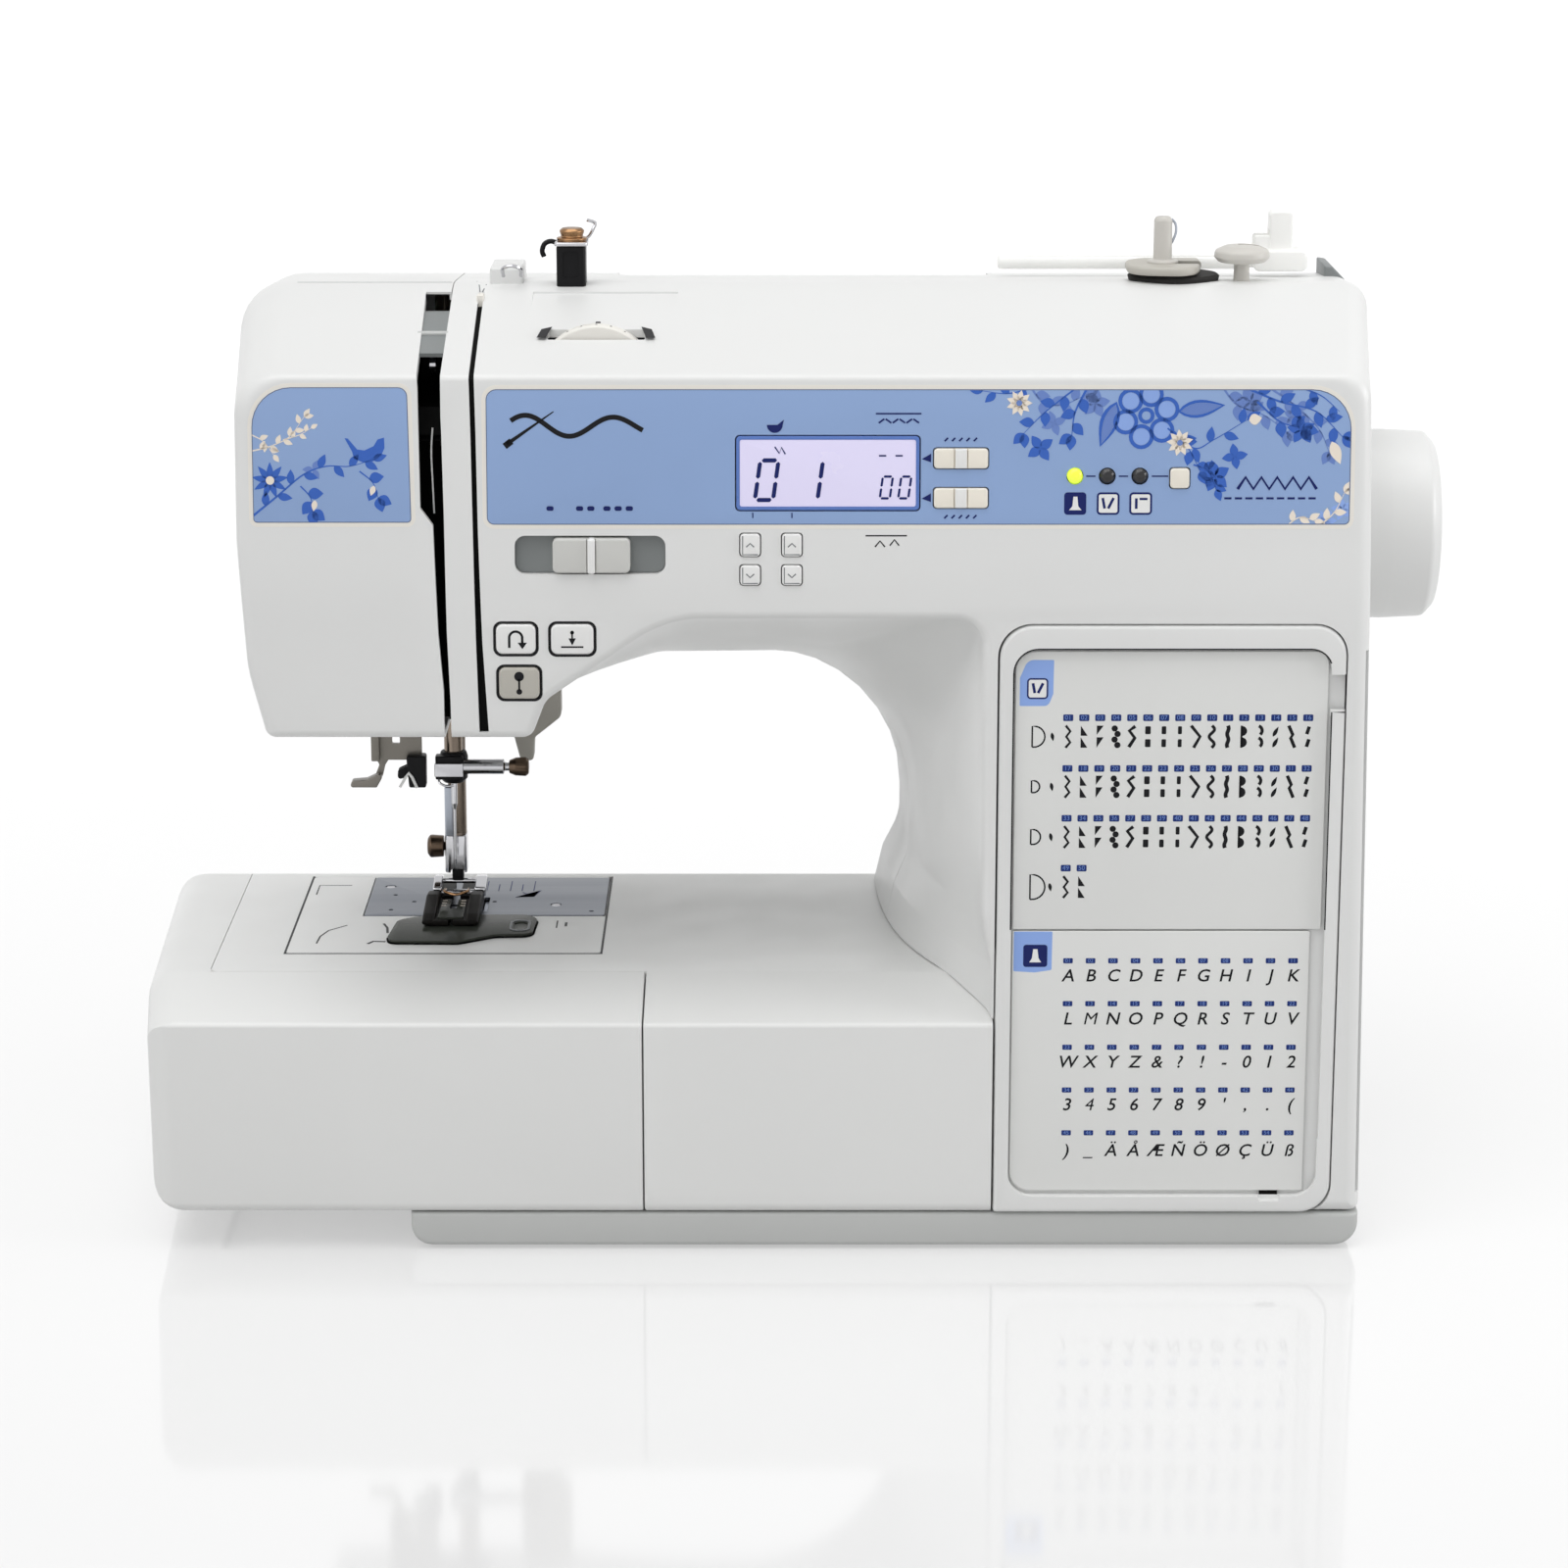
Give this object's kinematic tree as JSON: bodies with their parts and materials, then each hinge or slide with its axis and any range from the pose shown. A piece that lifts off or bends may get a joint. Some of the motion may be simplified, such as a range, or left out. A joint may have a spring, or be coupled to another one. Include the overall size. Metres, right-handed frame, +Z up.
{
  "type": "sewing machine",
  "caption": "Table-top electronic sewing machine with a free arm bed, display panel, stitch cards, handwheel, needle drive, presser foot, drop-in bobbin and slide-off flat bed.",
  "frame": {"origin": "on the table, under the middle of the machine's bounding box", "axes": "+X from the needle end to the handwheel, -Y towards the operator, +Z up"},
  "size_m": [0.4159, 0.1802, 0.3186],
  "materials": {
    "casing_white": "smooth satin moulded plastic, warm white",
    "card_white": "printed plastic card",
    "base_grey": "fine moulded texture, pale grey",
    "panel_blue": "printed periwinkle blue with darker flowers",
    "display_lilac": "pale lilac display window",
    "key_cream": "soft cream keys",
    "button_beige": "grey beige button",
    "lamp_yellow": "light pipes, one lit yellow green",
    "smoked_cover": "smoked see-through plastic",
    "black_plastic": "black moulded plastic",
    "black_rubber": "black rubber",
    "steel": "brushed steel",
    "chrome": "plated steel",
    "cast_aluminium": "rough cast alloy",
    "clear_plastic": "clear plastic"
  },
  "bodies": {
    "machine": {"front_cover": "casing_white", "rear_cover": "casing_white", "face_cover": "casing_white", "free_arm_cover": "casing_white", "needle_plate_cover": "casing_white", "card_holder": "casing_white", "winder_stopper": "casing_white", "spool_pin_holder": "casing_white", "base_plate": "base_grey", "control_panel": "panel_blue", "lcd_display": "display_lilac", "mode_lights": "lamp_yellow", "socket_panel": "black_plastic", "bobbin_case": "black_plastic", "pretension_guide": "black_plastic", "bobbin_winder_seat": "black_plastic", "rubber_foot_1": "black_rubber", "rubber_foot_2": "black_rubber", "rubber_foot_3": "black_rubber", "rubber_foot_4": "black_rubber", "timing_belt": "black_rubber", "drive_belt": "black_rubber", "needle_plate": "steel", "motor": "steel", "main_frame": "cast_aluminium"},
    "drive_wheel": {"handwheel": "casing_white", "upper_shaft": "steel"},
    "lower_drive": {"lower_shaft": "steel"},
    "motor_drive": {"motor_pulley": "black_plastic"},
    "hook": {"rotary_hook": "steel"},
    "thread_bobbin": {"bobbin": "clear_plastic"},
    "needle_carrier": {"needle_bar": "chrome", "needle_clamp": "steel", "needle": "chrome"},
    "take_up": {"take_up_lever": "chrome"},
    "presser_carrier": {"presser_bar": "chrome"},
    "presser_sole": {"presser_foot": "chrome"},
    "presser_lift_lever": {"presser_lever": "casing_white"},
    "feed": {"feed_dog": "steel"},
    "dial": {"tension_dial": "casing_white"},
    "speed_knob": {"speed_slider": "key_cream"},
    "winder": {"bobbin_winder_shaft": "casing_white"},
    "spool_holder_pin": {"spool_pin": "casing_white"},
    "handle": {"carry_handle": "casing_white"},
    "attachment": {"flatbed_attachment": "casing_white"},
    "bobbin_lid": {"bobbin_cover": "smoked_cover"},
    "upper_card": {"stitch_card_upper": "card_white"},
    "lower_card": {"stitch_card_lower": "card_white"},
    "threader": {"needle_threader": "black_plastic"},
    "mains_switch": {"power_switch": "black_plastic"},
    "reverse_button_body": {"reverse_button": "casing_white"},
    "needle_position_button_body": {"needle_position_button": "casing_white"},
    "start_stop_button_body": {"start_stop_button": "button_beige"},
    "stitch_tens_up_key_body": {"stitch_tens_up_key": "key_cream"},
    "stitch_ones_up_key_body": {"stitch_ones_up_key": "key_cream"},
    "stitch_tens_down_key_body": {"stitch_tens_down_key": "key_cream"},
    "stitch_ones_down_key_body": {"stitch_ones_down_key": "key_cream"},
    "mode_key_body": {"mode_key": "key_cream"},
    "stitch_length_key_body": {"stitch_length_key": "key_cream"},
    "stitch_width_key_body": {"stitch_width_key": "key_cream"}
  },
  "joints": [
    {"name": "handwheel_turn", "type": "hinge", "parent": "machine", "child": "drive_wheel", "pos_m": [0.19, 0.006, 0.216], "axis": [1, 0, 0], "continuous": true},
    {"name": "lower_shaft_turn", "type": "hinge", "parent": "machine", "child": "lower_drive", "pos_m": [0, 0.006, 0.04], "axis": [1, 0, 0], "continuous": true},
    {"name": "motor_turn", "type": "hinge", "parent": "machine", "child": "motor_drive", "pos_m": [0.157, 0.052, 0.075], "axis": [1, 0, 0], "continuous": true},
    {"name": "hook_turn", "type": "hinge", "parent": "machine", "child": "hook", "pos_m": [-0.1096, -0.009, 0.06], "axis": [0, 0, 1], "continuous": true},
    {"name": "bobbin_spin", "type": "hinge", "parent": "machine", "child": "thread_bobbin", "pos_m": [-0.1096, -0.009, 0.065], "axis": [0, 0, 1], "continuous": true},
    {"name": "needle_bar_stroke", "type": "slide", "parent": "machine", "child": "needle_carrier", "axis": [0, 0, 1], "range_m": [-0.032, 0]},
    {"name": "take_up_swing", "type": "hinge", "parent": "machine", "child": "take_up", "pos_m": [-0.112, -0.014, 0.24], "axis": [1, 0, 0], "range_deg": [0, 50]},
    {"name": "presser_bar_lift", "type": "slide", "parent": "machine", "child": "presser_carrier", "axis": [0, 0, 1], "range_m": [0, 0.006]},
    {"name": "presser_lever_swing", "type": "hinge", "parent": "machine", "child": "presser_lift_lever", "pos_m": [-0.092, 0.0515, 0.1735], "axis": [1, 0, 0], "range_deg": [0, 80]},
    {"name": "presser_foot_tilt", "type": "hinge", "parent": "presser_carrier", "child": "presser_sole", "pos_m": [-0.1144, 0.03, 0.091], "axis": [1, 0, 0], "range_deg": [-7, 0]},
    {"name": "feed_dog_lift", "type": "slide", "parent": "machine", "child": "feed", "axis": [0, 0, 1], "range_m": [-0.003, 0.0016]},
    {"name": "tension_dial_turn", "type": "hinge", "parent": "machine", "child": "dial", "pos_m": [-0.062, -0.0555, 0.2715], "axis": [0, 1, 0], "range_deg": [-120, 120]},
    {"name": "speed_slide", "type": "slide", "parent": "machine", "child": "speed_knob", "axis": [1, 0, 0], "range_m": [-0.009, 0.009]},
    {"name": "winder_shift", "type": "slide", "parent": "machine", "child": "winder", "axis": [1, 0, 0], "range_m": [0, 0.008]},
    {"name": "spool_pin_raise", "type": "hinge", "parent": "machine", "child": "spool_holder_pin", "pos_m": [0.15, 0.012, 0.3006], "axis": [0, 1, 0], "range_deg": [0, 30]},
    {"name": "handle_raise", "type": "hinge", "parent": "machine", "child": "handle", "pos_m": [0, 0.042, 0.2897], "axis": [1, 0, 0], "range_deg": [-90, 0]},
    {"name": "attachment_pull", "type": "slide", "parent": "machine", "child": "attachment", "axis": [1, 0, 0], "range_m": [-0.15, 0]},
    {"name": "bobbin_cover_slide", "type": "slide", "parent": "machine", "child": "bobbin_lid", "axis": [0, 1, 0], "range_m": [-0.03, 0]},
    {"name": "upper_card_slide", "type": "slide", "parent": "machine", "child": "upper_card", "axis": [1, 0, 0], "range_m": [0, 0.1]},
    {"name": "lower_card_slide", "type": "slide", "parent": "machine", "child": "lower_card", "axis": [1, 0, 0], "range_m": [0, 0.1]},
    {"name": "threader_drop", "type": "slide", "parent": "machine", "child": "threader", "axis": [0, 0, 1], "range_m": [-0.022, 0], "stiffness_N_per_m": 20, "springref_m": 0.01},
    {"name": "power_switch_rock", "type": "hinge", "parent": "machine", "child": "mains_switch", "pos_m": [0.176, 0.043, 0.07], "axis": [0, 1, 0], "range_deg": [-6, 6]},
    {"name": "reverse_button_press", "type": "slide", "parent": "machine", "child": "reverse_button_body", "axis": [0, 1, 0], "range_m": [0, 0.0015], "stiffness_N_per_m": 300, "springref_m": -0.001},
    {"name": "needle_position_button_press", "type": "slide", "parent": "machine", "child": "needle_position_button_body", "axis": [0, 1, 0], "range_m": [0, 0.0015], "stiffness_N_per_m": 300, "springref_m": -0.001},
    {"name": "start_stop_button_press", "type": "slide", "parent": "machine", "child": "start_stop_button_body", "axis": [0, 1, 0], "range_m": [0, 0.0015], "stiffness_N_per_m": 300, "springref_m": -0.001},
    {"name": "stitch_tens_up_key_press", "type": "slide", "parent": "machine", "child": "stitch_tens_up_key_body", "axis": [0, 1, 0], "range_m": [0, 0.0008], "stiffness_N_per_m": 300, "springref_m": -0.001},
    {"name": "stitch_ones_up_key_press", "type": "slide", "parent": "machine", "child": "stitch_ones_up_key_body", "axis": [0, 1, 0], "range_m": [0, 0.0008], "stiffness_N_per_m": 300, "springref_m": -0.001},
    {"name": "stitch_tens_down_key_press", "type": "slide", "parent": "machine", "child": "stitch_tens_down_key_body", "axis": [0, 1, 0], "range_m": [0, 0.0008], "stiffness_N_per_m": 300, "springref_m": -0.001},
    {"name": "stitch_ones_down_key_press", "type": "slide", "parent": "machine", "child": "stitch_ones_down_key_body", "axis": [0, 1, 0], "range_m": [0, 0.0008], "stiffness_N_per_m": 300, "springref_m": -0.001},
    {"name": "mode_key_press", "type": "slide", "parent": "machine", "child": "mode_key_body", "axis": [0, 1, 0], "range_m": [0, 0.0008], "stiffness_N_per_m": 300, "springref_m": -0.001},
    {"name": "stitch_length_key_rock", "type": "hinge", "parent": "machine", "child": "stitch_length_key_body", "pos_m": [0.0495, -0.08365, 0.2539], "axis": [0, 0, 1], "range_deg": [-2.5, 2.5], "stiffness_Nm_per_rad": 0.2},
    {"name": "stitch_width_key_rock", "type": "hinge", "parent": "machine", "child": "stitch_width_key_body", "pos_m": [0.0495, -0.08471, 0.2419], "axis": [0, 0, 1], "range_deg": [-2.5, 2.5], "stiffness_Nm_per_rad": 0.2}
  ],
  "couplings": [
    {"joint": "lower_shaft_turn", "follows": "handwheel_turn", "ratio": 1},
    {"joint": "motor_turn", "follows": "handwheel_turn", "ratio": 3},
    {"joint": "hook_turn", "follows": "handwheel_turn", "ratio": 2},
    {"joint": "take_up_swing", "follows": "needle_bar_stroke", "rad_per_m": -27.271},
    {"joint": "presser_lever_swing", "follows": "presser_bar_lift", "rad_per_m": 232.71}
  ]
}
